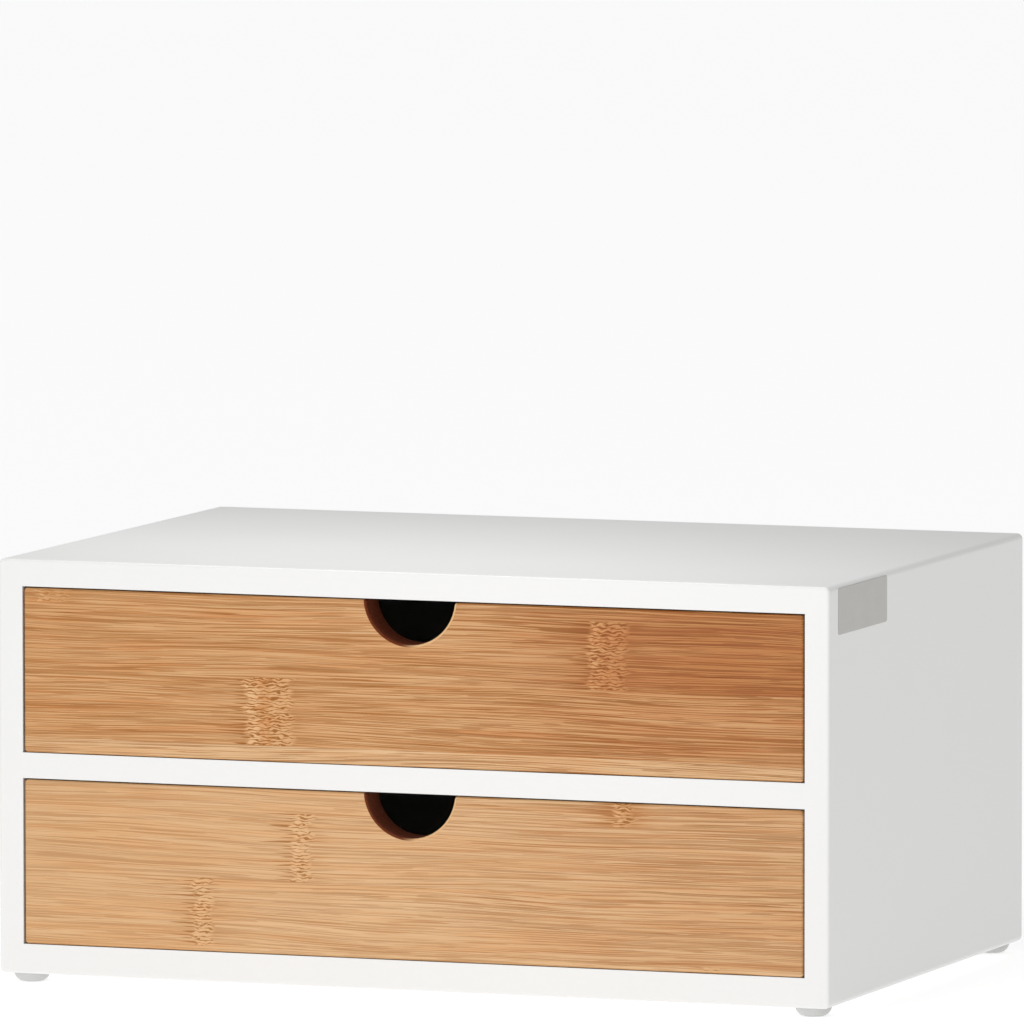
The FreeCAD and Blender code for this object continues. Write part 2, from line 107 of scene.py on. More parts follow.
class OrganizerColours(bpy.types.PropertyGroup):
    """Colours of the finishes, as linear values."""

    lacquer: FloatVectorProperty(
        name="Lacquer", description="White satin lacquer of the carcase",
        default=(0.81, 0.81, 0.80), subtype="COLOR", min=0, max=1)
    drawer_lacquer: FloatVectorProperty(
        name="Drawer lacquer", description="Thinner white lacquer of the drawer boxes",
        default=(0.76, 0.755, 0.74), subtype="COLOR", min=0, max=1)
    hardboard: FloatVectorProperty(
        name="Hardboard", description="White face of the back panel and drawer bases",
        default=(0.73, 0.73, 0.715), subtype="COLOR", min=0, max=1)
    bamboo_dark: FloatVectorProperty(
        name="Bamboo streak", description="Darkest fibres of the bamboo",
        default=(0.295, 0.096, 0.002), subtype="COLOR", min=0, max=1)
    bamboo_mid: FloatVectorProperty(
        name="Bamboo", description="Middle tone of the bamboo",
        default=(0.520, 0.250, 0.090), subtype="COLOR", min=0, max=1)
    bamboo_light: FloatVectorProperty(
        name="Bamboo light", description="Pale fibres of the bamboo",
        default=(0.655, 0.378, 0.172), subtype="COLOR", min=0, max=1)
    beech: FloatVectorProperty(
        name="Beech", description="Dowels inside the joints",
        default=(0.55, 0.35, 0.18), subtype="COLOR", min=0, max=1)
    rubber: FloatVectorProperty(
        name="Bumper", description="Light grey bumper feet",
        default=(0.56, 0.56, 0.55), subtype="COLOR", min=0, max=1)
    foil: FloatVectorProperty(
        name="Foil", description="Silver-grey foil plate",
        default=(0.50, 0.487, 0.463), subtype="COLOR", min=0, max=1)
    steel: FloatVectorProperty(
        name="Steel", description="Brad heads",
        default=(0.58, 0.58, 0.60), subtype="COLOR", min=0, max=1)


class OrganizerStudio(bpy.types.PropertyGroup):
    """The floor, the lights and the camera."""

    floor: FloatVectorProperty(
        name="Floor", description="Colour of the pale floor",
        default=(0.86, 0.86, 0.86), subtype="COLOR", min=0, max=1)
    floor_glow: FloatProperty(
        name="Floor glow", description="How much the floor is lit from below, as a light table is",
        default=0.48, min=0)
    sky: FloatProperty(
        name="Surround", description="Strength of the even light from all round", default=0.55, min=0)
    key: FloatProperty(
        name="Key light", description="Power of the large light at the front",
        default=14.4, subtype="POWER", min=0)
    fill: FloatProperty(
        name="Fill light", description="Power of the low light in front",
        default=0.95, subtype="POWER", min=0)
    overhead: FloatProperty(
        name="Overhead light", description="Power of the light over the top panel",
        default=0.36, subtype="POWER", min=0)
    lens: FloatProperty(
        name="Lens", description="Focal length on a 36 mm wide sensor",
        default=543.417, min=1)


# Node trees

class Value:
    """A number that changes over a surface. Arithmetic on it adds Math nodes."""

    def __init__(self, finish, socket):
        self.finish = finish
        self.socket = socket

    def math(self, operation, *terms):
        names = ["Value", "Value_001", "Value_002"]
        return self.finish.node("ShaderNodeMath", {"operation": operation}, dict(zip(names, terms)))

    def __add__(self, other):
        return self.math("ADD", self, other)

    def __sub__(self, other):
        return self.math("SUBTRACT", self, other)

    def __rsub__(self, other):
        return self.math("SUBTRACT", other, self)

    def __mul__(self, other):
        return self.math("MULTIPLY", self, other)

    def __truediv__(self, other):
        return self.math("DIVIDE", self, other)

    def __abs__(self):
        return self.math("ABSOLUTE", self)

    __radd__ = __add__
    __rmul__ = __mul__

    def floor(self):
        return self.math("FLOOR", self)

    def sine(self):
        return self.math("SINE", self)

    def root(self):
        return self.math("SQRT", self)

    def most(self, other):
        return self.math("MAXIMUM", self, other)

    def same(self, number):
        """1 where the value is within a half of a whole number, and 0 elsewhere."""
        return self.math("COMPARE", self, number, 0.5)

    def ease(self, low, high):
        """0 at low, 1 at high, and an S-shaped rise or fall between them."""
        inputs = {"Value": self, "From Min": low, "From Max": high}
        return self.finish.node("ShaderNodeMapRange", {"interpolation_type": "SMOOTHSTEP"}, inputs)


class Finish:
    """A material with one Principled shader, and the nodes that feed it."""

    def __init__(self, name, **constants):
        self.material = bpy.data.materials.new(name)
        self.material.use_nodes = True
        self.tree = self.material.node_tree
        self.shader = self.tree.nodes["Principled BSDF"]
        for socket, number in constants.items():
            self.shader.inputs[socket.replace("_", " ")].default_value = number

    def node(self, kind, settings=None, inputs=None, output=0):
        """Add a node: its settings first, then its sockets' numbers or links."""
        node = self.tree.nodes.new(kind)
        for name, setting in (settings or {}).items():
            if name == "stops":
                self.set_stops(node.color_ramp, setting)
            else:
                setattr(node, name, setting)
        for name, given in (inputs or {}).items():
            self.plug(self.find(node, name), given)
        return Value(self, node.outputs[output])

    def find(self, node, name):
        """A socket by its identifier, or else by its name."""
        for socket in node.inputs:
            if socket.identifier == name:
                return socket
        return node.inputs[name]

    def set_stops(self, ramp, stops):
        while len(ramp.elements) < len(stops):
            ramp.elements.new(0.5)
        for element, (position, colour) in zip(ramp.elements, stops):
            element.position = position
            element.color = (*colour, 1)

    def plug(self, socket, given):
        if isinstance(given, Value):
            self.tree.links.new(given.socket, socket)
        elif socket.type == "RGBA":
            socket.default_value = (*given[:3], 1)
        else:
            socket.default_value = given

    def feed(self, name, given):
        self.plug(self.shader.inputs[name], given)

    def place(self):
        """X, Y and Z in millimetres, from the object's own coordinates."""
        coordinates = self.node("ShaderNodeTexCoord", output="Object")
        split = self.node("ShaderNodeSeparateXYZ", inputs={"Vector": coordinates}).socket.node
        return [Value(self, split.outputs[axis]) * 1000 for axis in ("X", "Y", "Z")]

    def noise(self, x, y, z, detail=2.0, roughness=0.5, distortion=0.0):
        vector = self.node("ShaderNodeCombineXYZ", inputs={"X": x, "Y": y, "Z": z})
        inputs = {
            "Vector": vector, "Scale": 1.0, "Detail": detail,
            "Roughness": roughness, "Distortion": distortion,
        }
        return self.node("ShaderNodeTexNoise", {"noise_dimensions": "3D"}, inputs)

    def mix(self, share, first, second, way="MIX"):
        """A colour between two others, or one laid over the other."""
        settings = {"data_type": "RGBA", "blend_type": way}
        inputs = {"Factor_Float": share, "A_Color": first, "B_Color": second}
        return self.node("ShaderNodeMix", settings, inputs, output=2)

    def bump(self, height, depth, strength=1.0):
        """Turn a height from 0 to 1 into a relief of a depth in metres."""
        inputs = {"Height": height, "Distance": depth, "Strength": strength}
        self.feed("Normal", self.node("ShaderNodeBump", inputs=inputs, output="Normal"))


# Finishes

def white_lacquer(name, colour, roughness, relief, patch=0.012):
    """Sprayed lacquer on fibreboard: a faint cloudiness, and a fine pebbled skin."""
    finish = Finish(name)
    x, y, z = finish.place()
    cloud = finish.noise(x / 46, y / 46, z / 46, detail=3)
    speck = finish.noise(x / 3.1, y / 3.1, z / 3.1, detail=2)
    pebble = finish.noise(x / 0.9, y / 0.9, z / 0.9, detail=1)
    shade = 1 - patch + (cloud - 0.5) * (2 * patch) + (speck - 0.5) * patch
    finish.feed("Base Color", tint(finish, colour, shade))
    finish.feed("Roughness", roughness + (speck - 0.5) * 0.08 + (cloud - 0.5) * 0.06)
    finish.bump(pebble, relief)
    return finish.material


def tint(finish, colour, shade):
    """A colour times a number that changes over the surface."""
    grey = finish.node("ShaderNodeCombineColor", inputs={"Red": shade, "Green": shade, "Blue": shade})
    return finish.mix(1.0, grey, colour, "MULTIPLY")


def hardboard(name, colour):
    """Thin board with a printed white face: a faint felted texture."""
    finish = Finish(name)
    x, y, z = finish.place()
    felt = finish.noise(x / 1.6, y / 1.6, z / 1.6, detail=4, roughness=0.7)
    cloud = finish.noise(x / 30, y / 30, z / 30, detail=2)
    shade = 0.97 + (felt - 0.5) * 0.05 + (cloud - 0.5) * 0.03
    finish.feed("Base Color", tint(finish, colour, shade))
    finish.feed("Roughness", 0.58 + (felt - 0.5) * 0.14)
    finish.bump(felt, 0.00006)
    return finish.material


def bamboo(name, front, sizes, colours, first, joints, tone, strips, contrast):
    """Flat-pressed bamboo strips under satin varnish, the grain along X.

    first is the height of one glue line in millimetres. joints are the culm's nodes:
    along X, strip number, width in millimetres, strength, and how stained the wood round
    it is. tone darkens the whole board. strips give a strip's number, how much darker it
    is than the board, and how much painted shade darkens it towards its right end. contrast
    is that of the fibres.
    """
    strip_height = 23.75
    low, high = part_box(front)
    front_face = low.y / MILLIMETRE
    cut_centre = (high.z + sizes.finger_rise) / MILLIMETRE
    cut_radius = sizes.finger_radius / MILLIMETRE
    ease = sizes.front_ease / MILLIMETRE
    finish = Finish(name, Specular_IOR_Level=0.25, Coat_Roughness=0.3)
    x, y, z = finish.place()
    across = (z - first) / strip_height
    strip = across.floor()
    own_x = x + strip * 83.0
    own_y = y + strip * 31.7

    # Where the culm's nodes are: a ragged core, the middle of it, a halo that fades along
    # the grain, and dark tongues that taper away from the core on both sides.
    ragged = finish.noise(strip * 7.1, own_y / 6, z / 2.6, detail=2, roughness=0.7) - 0.5
    core, bright, heart, halo, tongue, stain = [], [], [], [], [], []
    for along, row, width, strength, stained in joints:
        here = strip.same(row) * strength
        offset = x - along + ragged * 12
        reach = abs(offset) - width / 2
        fades = finish.noise(offset / 30 + row * 9.3, own_y / 3.1, z / 1.5, detail=0) * 0.25 - 0.055
        rows = (z * 4.6 + finish.noise(row * 5.7, offset / 40, z / 2.4, detail=0) * 9).sine()
        core.append(here * reach.ease(1.5, -1.5))
        bright.append(offset.ease(width * 0.3, -width * 0.4) * strip.same(row))
        middle = (reach + abs(offset + width * 0.2)).ease(-width * 0.1, -width * 0.45)
        heart.append(here * middle * max(0, width - 9) / 8)
        halo.append(here * reach.ease(30, 0) * (offset.ease(1, -1) * 0.4 + 0.6))
        stain.append(strip.same(row) * reach.ease(12, -1) * stained)
        tongue.append(here * (rows - reach * fades).ease(0.35, 0.7) * reach.ease(-0.8, 0.4))
    core, bright, heart = sum(core), sum(bright), sum(heart)
    halo, tongue, stain = sum(halo), sum(tongue), sum(stain)

    # Fibres run in a herringbone through a node, and elsewhere lean slowly up and down.
    wander = finish.noise(own_x / 150, own_y / 30, z / 30, detail=1) - 0.5
    phase = x / 5.2 + finish.noise(strip * 3.3, own_y / 5, z / 3.0, detail=0) * 2.4
    chevron = abs(phase - phase.floor() - 0.5)
    height = z + wander * 7.5 + core * chevron * 0.9

    def streaks(length, pitch, seed, low, taper):
        """Rows of thin streaks that each start sharply and fade away along the grain."""
        row = finish.noise(own_x / (3 * length), own_y / 1.7, height / pitch + seed, detail=0)
        start = own_x / length + finish.noise(seed, own_y / 3.7, height / (2.1 * pitch), detail=0) * 9
        tail = start - start.floor()
        return (row - tail * taper).ease(low, low + 0.05) * tail.ease(0, 0.05) * (1 - tail)

    hair = finish.noise(own_x / 38, own_y / 1.2, height / 0.34, detail=1).ease(0.32, 0.54)
    thread = finish.noise(own_x / 19, own_y / 1.3, height / 0.37, detail=0).ease(0.615, 0.66)
    cord = finish.noise(own_x / 50, own_y / 1.9, height / 0.4, detail=0).ease(0.63, 0.67)
    stroke = finish.noise(own_x / 3.1, own_y / 1.2, height / 0.8, detail=1)
    weave = (height * 5.6 + (stroke - 0.5) * 11).sine()
    group = finish.noise(own_x / 70, own_y / 4, height / 2.4, detail=1)
    band = finish.noise(own_x / 150, own_y / 9, height / 7, detail=1)
    patch = finish.noise(own_x / 26, own_y / 12, z / 8, detail=1)
    long_streak = streaks(110, 0.36, 11.3, 0.58, 0.07)
    short_streak = streaks(-42, 0.31, 29.7, 0.57, 0.07)
    pale_streak = streaks(60, 0.36, 53.4, 0.56, 0.06)

    calm = 1 - core
    left, right = contrast
    contrast = x.ease(-130, 110) * (right - left) + left
    rough = (band - 0.5) * 0.10 + (group - 0.5) * 0.04 + (patch - 0.5) * 0.08
    fine = (hair - 0.7) * 0.19 + pale_streak * 0.13
    light = 0.74 - tone + (rough + fine * calm) * contrast - heart * 0.3 - stain
    light = light - sum(strip.same(row) * amount for row, amount, _ in strips)
    light = light - x.ease(-20, -130) * ((right - left) * 0.14)
    body = finish.node("ShaderNodeValToRGB", {"stops": [
        (0.0, (0.371, 0.132, 0.024)), (0.25, (0.472, 0.181, 0.042)), (0.5, (0.564, 0.268, 0.093)),
        (0.75, (0.653, 0.392, 0.190)), (1.0, (0.724, 0.494, 0.282)),
    ]}, {"Fac": light})
    darkest, middle, palest = colours
    gate = group.ease(0.70, 0.35) * 0.15 + 0.85
    dark = long_streak.most(short_streak).most(cord * 0.7).most(thread * 0.5) * gate * calm * contrast
    dark = dark.most(tongue * halo).most(core * weave.ease(0.25, 0.85) * 0.9)
    body = finish.mix(dark, body, darkest)
    fleck = core * weave.ease(-0.1, -0.8) * (bright * 0.65 + 0.35) * (1 - heart * 0.6)
    cream = tuple(min(1.0, p * f) for p, f in zip(palest, (1.14, 1.22, 1.34)))
    char_and_shade = tuple(p * f for p, f in zip(darkest, (0.387, 0.119, 0.0)))
    body = finish.mix(fleck * 0.84, body, cream)
    # Painted shade: each strip is darkened towards the right end of the front, by its strip's last number.
    share = sum(strip.same(row) * amount for row, _, amount in strips)
    body = finish.mix(x.ease(-10, 120) * share, body, (0.70, 0.45, 0.18), "MULTIPLY")
    warmth = finish.noise(own_x / 55, own_y / 6, height / 2.7, detail=1).ease(0.38, 0.62)
    body = finish.mix(warmth - 0.35, body, (1.0, 0.90, 0.80), "MULTIPLY")
    glue = abs(across - strip - 0.5).ease(0.4925, 0.4985) * 0.28
    body = finish.mix(glue, body, darkest)
    # The wall of the cut-out is painted near black: painted shade in the recess, with a little scorching from the
    # cutter; the right half of its front edge gets a painted highlight.
    up = z - cut_centre
    from_centre = (x * x + up * up).root()
    in_cut = from_centre.ease(cut_radius + ease * 1.06, cut_radius + ease * 0.9)
    right_edge_highlight = (y - front_face).ease(ease * 0.95, ease * 0.6) * x.ease(-4, 4)
    # Painted shade on the cut-out's wall, with a little scorching.
    body = finish.mix(in_cut * (0.985 - hair * 0.05), body, char_and_shade)
    # Painted highlight: the right half of the cut-out's rounded front edge is coloured cream.
    body = finish.mix(in_cut * right_edge_highlight, body, cream)
    finish.feed("Base Color", body)
    finish.feed("Roughness", 0.42 + (hair - 0.5) * 0.1 + dark * 0.08 + in_cut * 0.45)
    finish.feed("Coat Weight", (0.05 + (group - 0.5) * 0.05) * (1 - in_cut))
    finish.bump(hair * 0.3 + fleck * 0.3 - dark * 0.5, 0.00005, 0.6)
    return finish.material


def beech(name, colour):
    """Plain rod with a fine flecked grain along it."""
    finish = Finish(name)
    x, y, z = finish.place()
    fleck = finish.noise(x / 0.6, y / 0.6, z / 7, detail=3)
    finish.feed("Base Color", tint(finish, colour, 0.86 + fleck * 0.3))
    finish.feed("Roughness", 0.62 + (fleck - 0.5) * 0.2)
    finish.bump(fleck, 0.00004)
    return finish.material


def bumper(name, colour):
    """Soft cast bumper: slightly cloudy, with a smooth skin that holds a little dust."""
    finish = Finish(name)
    x, y, z = finish.place()
    cloud = finish.noise(x / 2.4, y / 2.4, z / 2.4, detail=3)
    dust = finish.noise(x / 0.35, y / 0.35, z / 0.35, detail=2)
    shade = 0.98 + (cloud - 0.5) * 0.08 + dust.ease(0.62, 0.72) * 0.05
    finish.feed("Base Color", tint(finish, colour, shade))
    finish.feed("Roughness", 0.36 + (dust - 0.5) * 0.2)
    finish.bump(cloud, 0.00004)
    return finish.material


def foil(name, colour):
    """Satin foil with a fine brushing along its length, and a faint cloudiness."""
    finish = Finish(name, Metallic=0.55)
    x, y, z = finish.place()
    brush = finish.noise(x / 2, y / 16, z / 0.14, detail=3, roughness=0.7)
    cloud = finish.noise(x / 9, y / 9, z / 9, detail=2)
    finish.feed("Base Color", tint(finish, colour, 0.92 + (brush - 0.5) * 0.22 + (cloud - 0.5) * 0.08))
    finish.feed("Roughness", 0.36 + (brush - 0.5) * 0.16)
    finish.bump(brush, 0.00001)
    return finish.material


def steel(name, colour):
    """Bright wire steel with small tool marks."""
    finish = Finish(name, Metallic=1.0)
    x, y, z = finish.place()
    mark = finish.noise(x / 0.18, y / 0.9, z / 0.5, detail=3)
    finish.feed("Base Color", tint(finish, colour, 0.9 + (mark - 0.5) * 0.3))
    finish.feed("Roughness", 0.34 + (mark - 0.5) * 0.2)
    finish.bump(mark, 0.00001)
    return finish.material


def pale_floor(name, colour, glow):
    """A matt pale floor with a faint unevenness, lit a little from below."""
    finish = Finish(name, Emission_Strength=glow)
    x, y, z = finish.place()
    cloud = finish.noise(x / 900, y / 900, 0.0, detail=2)
    finish.feed("Base Color", tint(finish, colour, 0.99 + (cloud - 0.5) * 0.02))
    finish.feed("Roughness", 0.8 + (cloud - 0.5) * 0.1)
    finish.shader.inputs["Emission Color"].default_value = (1, 1, 1, 1)
    finish.shader.inputs["Specular IOR Level"].default_value = 0.1
    return finish.material


def dress(node, material):
    """Give a board a finish."""
    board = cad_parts[node]
    if not board.material_slots:
        board.data.materials.append(material)
    for slot in board.material_slots:
        slot.material = material


# Surfaces

def add_piece(name, points, faces, material, smooth=True):
    """A mesh object at the origin from arrays of points and faces."""
    mesh = bpy.data.meshes.new(name)
    mesh.from_pydata(points.tolist(), [], faces)
    mesh.polygons.foreach_set("use_smooth", np.full(len(faces), smooth))
    mesh.materials.append(material)
    mesh.validate()
    mesh.update()
    piece = bpy.data.objects.new(name, mesh)
    bpy.context.scene.collection.objects.link(piece)
    return piece


def turned(profile, steps):
    """A profile of radius and height, turned about Z and closed at both ends.

    The point at step i and profile place j is (r_j cos a_i, r_j sin a_i, h_j), where a_i goes
    once round. The first and last places lie on the axis and are one point each.
    """
    profile = np.asarray(profile, float)
    ring = profile[1:-1]
    angle = np.linspace(0, 2 * np.pi, steps, endpoint=False)
    across = np.outer(np.cos(angle), ring[:, 0])
    deep = np.outer(np.sin(angle), ring[:, 0])
    high = np.broadcast_to(ring[:, 1], across.shape)
    body = np.stack([across, deep, high], axis=-1).reshape(-1, 3)
    poles = np.array([[0, 0, profile[0, 1]], [0, 0, profile[-1, 1]]])
    points = np.vstack([body, poles])

    count = len(ring)
    here = np.arange(steps)[:, None] * count
    after = ((np.arange(steps) + 1) % steps)[:, None] * count
    level = np.arange(count - 1)[None, :]
    quads = np.stack([here + level, here + level + 1, after + level + 1, after + level], axis=-1)
    first, last = len(body), len(body) + 1
    start = np.stack([np.full(steps, first), here[:, 0], after[:, 0]], axis=-1)
    end = np.stack([np.full(steps, last), after[:, 0] + count - 1, here[:, 0] + count - 1], axis=-1)
    return points, quads.reshape(-1, 4).tolist() + start.tolist() + end.tolist()


def foot_profile(width, flat, rim, height):
    """A bumper's half section, from its stuck face down to the flat that it stands on.

    Its side is part of a circle that leaves the flat level and meets the wall above it.
    """
    run = width / 2 - flat / 2
    drop = height - rim
    bend = (run ** 2 + drop ** 2) / (2 * drop)
    turn = 2 * np.arctan2(drop, run)
    angle = np.linspace(turn, 0, 28)
    curve = np.stack([flat / 2 + bend * np.sin(angle), bend * (1 - np.cos(angle))], axis=-1)
    soft = 0.00012
    wall = [(0, height), (width / 2 - 6 * soft, height), (width / 2 - soft, height)]
    wall += [(width / 2 - 0.3 * soft, height - 0.3 * soft), (width / 2, height - soft)]
    return np.vstack([wall, curve, [(flat / 4, 0), (0, 0)]])


def rounded_outline(length, height, corner, steps=10):
    """Points round a rectangle with round corners, middle at the origin, anticlockwise."""
    turn = np.linspace(0, np.pi / 2, steps)
    parts = []
    for quarter, (side, end) in enumerate([(1, 1), (-1, 1), (-1, -1), (1, -1)]):
        angle = turn + quarter * np.pi / 2
        parts.append(np.stack([
            side * (length / 2 - corner) + corner * np.cos(angle),
            end * (height / 2 - corner) + corner * np.sin(angle),
        ], axis=-1))
    return np.vstack(parts)


def plate_surface(length, height, corner, thickness):
    """A thin plate with round corners and a softened rim, closed at front and back.

    Rings of the outline, each drawn in by its own inset and set out by its own height, lie from
    the back to the front. Each end is closed to one middle point.
    """
    rings = [(0.0, 0.0), (0.0, 0.55), (0.25, 0.85), (0.7, 1.0), (4.0, 1.0)]
    layers = []
    for inset, rise in rings:
        inset = inset * thickness
        outline = rounded_outline(length - 2 * inset, height - 2 * inset, corner - min(inset, corner * 0.9))
        layers.append(np.column_stack([outline, np.full(len(outline), rise * thickness)]))
    count = len(layers[0])
    points = np.vstack(layers + [[[0, 0, 0]], [[0, 0, thickness]]])
    index = np.arange(count)
    following = (index + 1) % count
    faces = []
    for layer in range(len(rings) - 1):
        low, high = layer * count, (layer + 1) * count
        quads = np.stack([low + index, low + following, high + following, high + index], axis=-1)
        faces += quads.tolist()
    back, front = count * len(rings), count * len(rings) + 1
    top = count * (len(rings) - 1)
    faces += np.stack([np.full(count, back), following, index], axis=-1).tolist()
    faces += np.stack([np.full(count, front), top + index, top + following], axis=-1).tolist()
    return points, faces


# Operators

class ORGANIZER_OT_lacquer_carcase(bpy.types.Operator):
    """Lacquer the five boards of the carcase"""

    bl_idname = "organizer.lacquer_carcase"
    bl_label = "Lacquer the carcase"

    def execute(self, context):
        colours = context.scene.organizer_colours
        material = white_lacquer("white_lacquer", colours.lacquer, 0.40, 0.00002)
        for node in CARCASE_BOARDS:
            dress(node, material)
        return {"FINISHED"}


class ORGANIZER_OT_drawer_boxes(bpy.types.Operator):
    """Finish the drawers' sides, backs and bases, and the carcase's back panel"""

    bl_idname = "organizer.drawer_boxes"
    bl_label = "Finish the drawer boxes"

    def execute(self, context):
        colours = context.scene.organizer_colours
        board = white_lacquer("drawer_lacquer", colours.drawer_lacquer, 0.46, 0.00003, 0.02)
        thin = hardboard("white_hardboard", colours.hardboard)
        for drawer in DRAWERS:
            for part in ("left_side", "right_side", "back"):
                dress(drawer + "_drawer_" + part, board)
            dress(drawer + "_drawer_bottom", thin)
        dress("back_panel", thin)
        return {"FINISHED"}


class ORGANIZER_OT_bamboo_fronts(bpy.types.Operator):
    """Give both drawer fronts their bamboo strips"""

    bl_idname = "organizer.bamboo_fronts"
    bl_label = "Finish the drawer fronts"

    def execute(self, context):
        colours = context.scene.organizer_colours
        shades = (tuple(colours.bamboo_dark), tuple(colours.bamboo_mid), tuple(colours.bamboo_light))
        sizes = context.scene.organizer_sizes
        upper = [(-52.5, 0, 17, 1.0, 0.0), (72.2, 1, 13.5, 1.0, 0.06), (-134.5, 2, 12, 0.6, 0.1)]
        lower = [(-40.4, 1, 6.8, 0.9, 0.03), (-77.7, 0, 6.8, 0.9, 0.03),
                 (78.6, 2, 6.3, 0.9, 0.2), (112.3, -1, 6, 0.7, 0.1)]
        # A strip's last number is how much painted shade darkens it towards its right end.
        upper_strips = [(-1, -0.19, 0.12), (0, 0.0, 0.43), (1, 0.0, 0.85), (2, -0.03, 0.8)]
        lower_strips = [(0, 0.0, 0.27), (1, 0.0, 0.22), (2, 0.0, 0.2)]
        dress("upper_drawer_front", bamboo(
            "upper_bamboo", "upper_drawer_front", sizes, shades, 87.3, upper, 0.14, upper_strips, (0.97, 1.15)))
        dress("lower_drawer_front", bamboo(
            "lower_bamboo", "lower_drawer_front", sizes, shades, 16.2, lower, -0.055, lower_strips, (0.56, 0.84)))
        return {"FINISHED"}


class ORGANIZER_OT_dowels(bpy.types.Operator):
    """Finish the dowels inside the carcase's joints"""

    bl_idname = "organizer.dowels"
    bl_label = "Finish the dowels"

    def execute(self, context):
        dress("carcase_dowels", beech("beech", context.scene.organizer_colours.beech))
        return {"FINISHED"}


class ORGANIZER_OT_feet(bpy.types.Operator):
    """Make the four smooth bumper feet in place of the plain ones"""

    bl_idname = "organizer.feet"
    bl_label = "Make the feet"

    def execute(self, context):
        sizes = context.scene.organizer_sizes
        material = bumper("bumper_rubber", context.scene.organizer_colours.rubber)
        for node in CORNER_FEET:
            low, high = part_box(node)
            width = high.x - low.x
            profile = foot_profile(width, sizes.foot_flat, sizes.foot_rim, high.z - low.z)
            points, faces = turned(profile, sizes.foot_turns)
            points = points + np.array([(low.x + high.x) / 2, (low.y + high.y) / 2, low.z])
            foot = add_piece(node + "_bumper", points, faces, material)
            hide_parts(node)
            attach(foot, "carcase")
        return {"FINISHED"}


class ORGANIZER_OT_foil_plate(bpy.types.Operator):
    """Make the bare foil plate near the top of the right side"""

    bl_idname = "organizer.foil_plate"
    bl_label = "Make the foil plate"

    def execute(self, context):
        sizes = context.scene.organizer_sizes
        flat, faces = plate_surface(
            sizes.plate_length, sizes.plate_height, sizes.plate_corner, sizes.plate_thickness)
        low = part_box("right_side_panel")[0]
        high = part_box("top_panel")[1]
        middle_y = low.y + sizes.plate_setback + sizes.plate_length / 2
        middle_z = high.z - sizes.plate_drop - sizes.plate_height / 2
        points = np.column_stack([
            high.x + flat[:, 2], middle_y + flat[:, 0], middle_z + flat[:, 1]])
        material = foil("silver_foil", context.scene.organizer_colours.foil)
        plate = add_piece("foil_plate", points, faces, material, smooth=False)
        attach(plate, "carcase")
        return {"FINISHED"}


class ORGANIZER_OT_brads(bpy.types.Operator):
    """Make the brad heads that hold the back panel"""

    bl_idname = "organizer.brads"
    bl_label = "Make the brads"

    def execute(self, context):
        sizes = context.scene.organizer_sizes
        radius, rise = sizes.brad_head / 2, sizes.brad_rise
        angle = np.linspace(np.pi / 2, 0, 8)
        dome = np.stack([radius * np.cos(angle), rise * (0.25 + 0.75 * np.sin(angle))], axis=-1)
        profile = np.vstack([dome, [(radius, 0), (0, 0)]])
        head, faces = turned(profile, 20)

        low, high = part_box("back_panel")
        inset = 0.0021
        across = np.linspace(low.x + 0.04, high.x - 0.04, 3)
        upward = np.linspace(low.z + 0.04, high.z - 0.04, 2)
        places = [(x, z) for z in (low.z + inset, high.z - inset) for x in across]
        places += [(x, z) for x in (low.x + inset, high.x - inset) for z in upward]
        places = np.array(places)
        # A head's axis points out of the back, so its height runs along +Y.
        turned_head = np.column_stack([-head[:, 0], head[:, 2], head[:, 1]])
        shift = np.column_stack([places[:, 0], np.full(len(places), high.y), places[:, 1]])
        points = (turned_head[None, :, :] + shift[:, None, :]).reshape(-1, 3)
        faces = [[corner + len(head) * copy for corner in face]
                 for copy in range(len(places)) for face in faces]
        material = steel("brad_steel", context.scene.organizer_colours.steel)
        brads = add_piece("back_panel_brads", points, faces, material)
        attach(brads, "carcase")
        return {"FINISHED"}


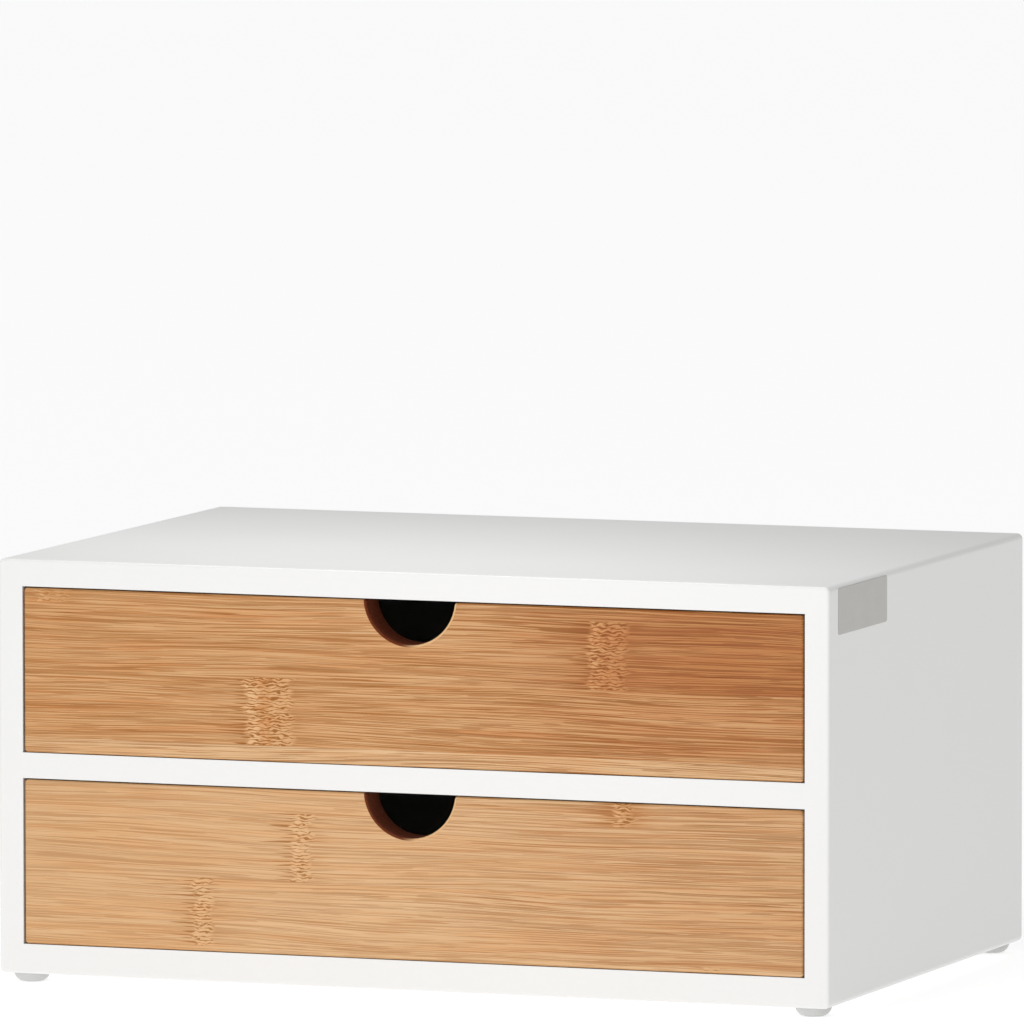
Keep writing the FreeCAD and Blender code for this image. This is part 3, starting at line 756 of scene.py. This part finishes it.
class ORGANIZER_OT_studio(bpy.types.Operator):
    """Make the pale floor, the soft lights and the camera"""

    bl_idname = "organizer.studio"
    bl_label = "Make the studio"

    def execute(self, context):
        studio = context.scene.organizer_studio
        self.make_floor(context, studio)
        self.make_lights(context, studio)
        self.make_camera(context, studio)
        return {"FINISHED"}

    def make_floor(self, context, studio):
        steps, reach = 96, 40.0
        angle = np.linspace(0, 2 * np.pi, steps, endpoint=False)
        radius = np.array([0.6, 2.0, 8.0, reach])
        rings = np.stack([
            np.outer(radius, np.cos(angle)), np.outer(radius, np.sin(angle)),
            np.zeros((len(radius), steps))], axis=-1).reshape(-1, 3)
        points = np.vstack([rings, [[0, 0, 0]]])
        index = np.arange(steps)
        following = (index + 1) % steps
        faces = np.stack([np.full(steps, len(rings)), index, following], axis=-1).tolist()
        for ring in range(len(radius) - 1):
            low, high = ring * steps, (ring + 1) * steps
            faces += np.stack([low + index, high + index, high + following, low + following], -1).tolist()
        material = pale_floor("pale_floor", studio.floor, studio.floor_glow)
        add_piece("studio_floor", points, faces, material, smooth=False)

    def make_lights(self, context, studio):
        world = bpy.data.worlds.new("soft_surround")
        world.use_nodes = True
        background = world.node_tree.nodes["Background"]
        background.inputs["Color"].default_value = (1.0, 1.0, 1.0, 1)
        background.inputs["Strength"].default_value = studio.sky
        context.scene.world = world
        self.add_light("key_softbox", (-0.6, -2.8, 0.8), (1.8, 1.8), studio.key)
        self.add_light("fill_softbox", (-0.15, -1.0, 0.06), (0.4, 0.1), studio.fill)
        self.add_light("overhead_softbox", (-0.03, -0.09, 0.35), (0.4, 0.1), studio.overhead)

    def add_light(self, name, place, size, power):
        data = bpy.data.lights.new(name, "AREA")
        data.shape = "RECTANGLE"
        data.size, data.size_y = size
        data.energy = power
        light = bpy.data.objects.new(name, data)
        aim = Vector((0, 0, 0.08)) - Vector(place)
        light.matrix_world = Matrix.Translation(place) @ aim.to_track_quat("-Z", "Y").to_matrix().to_4x4()
        bpy.context.scene.collection.objects.link(light)

    def make_camera(self, context, studio):
        data = bpy.data.cameras.new("photo_camera")
        data.sensor_width = 36.0
        data.sensor_fit = "AUTO"
        data.lens = studio.lens
        data.clip_start, data.clip_end = 0.5, 200.0
        camera = bpy.data.objects.new("photo_camera", data)
        right = Vector((0.9377838, 0.3472188, -0.0008428))
        up = Vector((-0.0313227, 0.0870147, 0.9957145))
        back = right.cross(up)
        turn = Matrix((right, up, back)).transposed().to_4x4()
        camera.matrix_world = Matrix.Translation((1.885234, -5.093515, 0.667090)) @ turn
        context.scene.collection.objects.link(camera)
        context.scene.camera = camera
        context.scene.view_settings.view_transform = "Standard"


class ORGANIZER_PT_panel(bpy.types.Panel):
    """Lists the steps that finish the organizer"""

    bl_idname = "ORGANIZER_PT_panel"
    bl_label = "Capsule organizer"
    bl_space_type = "VIEW_3D"
    bl_region_type = "UI"
    bl_category = "Organizer"

    def draw(self, context):
        for operator in OPERATORS:
            self.layout.operator(operator.bl_idname)
        for group in ("organizer_sizes", "organizer_colours", "organizer_studio"):
            box = self.layout.box()
            settings = getattr(context.scene, group)
            for name in settings.__annotations__:
                box.prop(settings, name)


OPERATORS = (
    ORGANIZER_OT_lacquer_carcase,
    ORGANIZER_OT_drawer_boxes,
    ORGANIZER_OT_bamboo_fronts,
    ORGANIZER_OT_dowels,
    ORGANIZER_OT_feet,
    ORGANIZER_OT_foil_plate,
    ORGANIZER_OT_brads,
    ORGANIZER_OT_studio,
)
SETTINGS = (OrganizerSizes, OrganizerColours, OrganizerStudio)


def register():
    for kind in SETTINGS + OPERATORS + (ORGANIZER_PT_panel,):
        bpy.utils.register_class(kind)
    bpy.types.Scene.organizer_sizes = PointerProperty(type=OrganizerSizes)
    bpy.types.Scene.organizer_colours = PointerProperty(type=OrganizerColours)
    bpy.types.Scene.organizer_studio = PointerProperty(type=OrganizerStudio)


def unregister():
    for name in ("organizer_sizes", "organizer_colours", "organizer_studio"):
        delattr(bpy.types.Scene, name)
    for kind in reversed(SETTINGS + OPERATORS + (ORGANIZER_PT_panel,)):
        bpy.utils.unregister_class(kind)


def main():
    register()
    bpy.ops.organizer.lacquer_carcase()
    bpy.ops.organizer.drawer_boxes()
    bpy.ops.organizer.bamboo_fronts()
    bpy.ops.organizer.dowels()
    bpy.ops.organizer.feet()
    bpy.ops.organizer.foil_plate()
    bpy.ops.organizer.brads()
    bpy.ops.organizer.studio()


if __name__ == "__main__":
    main()
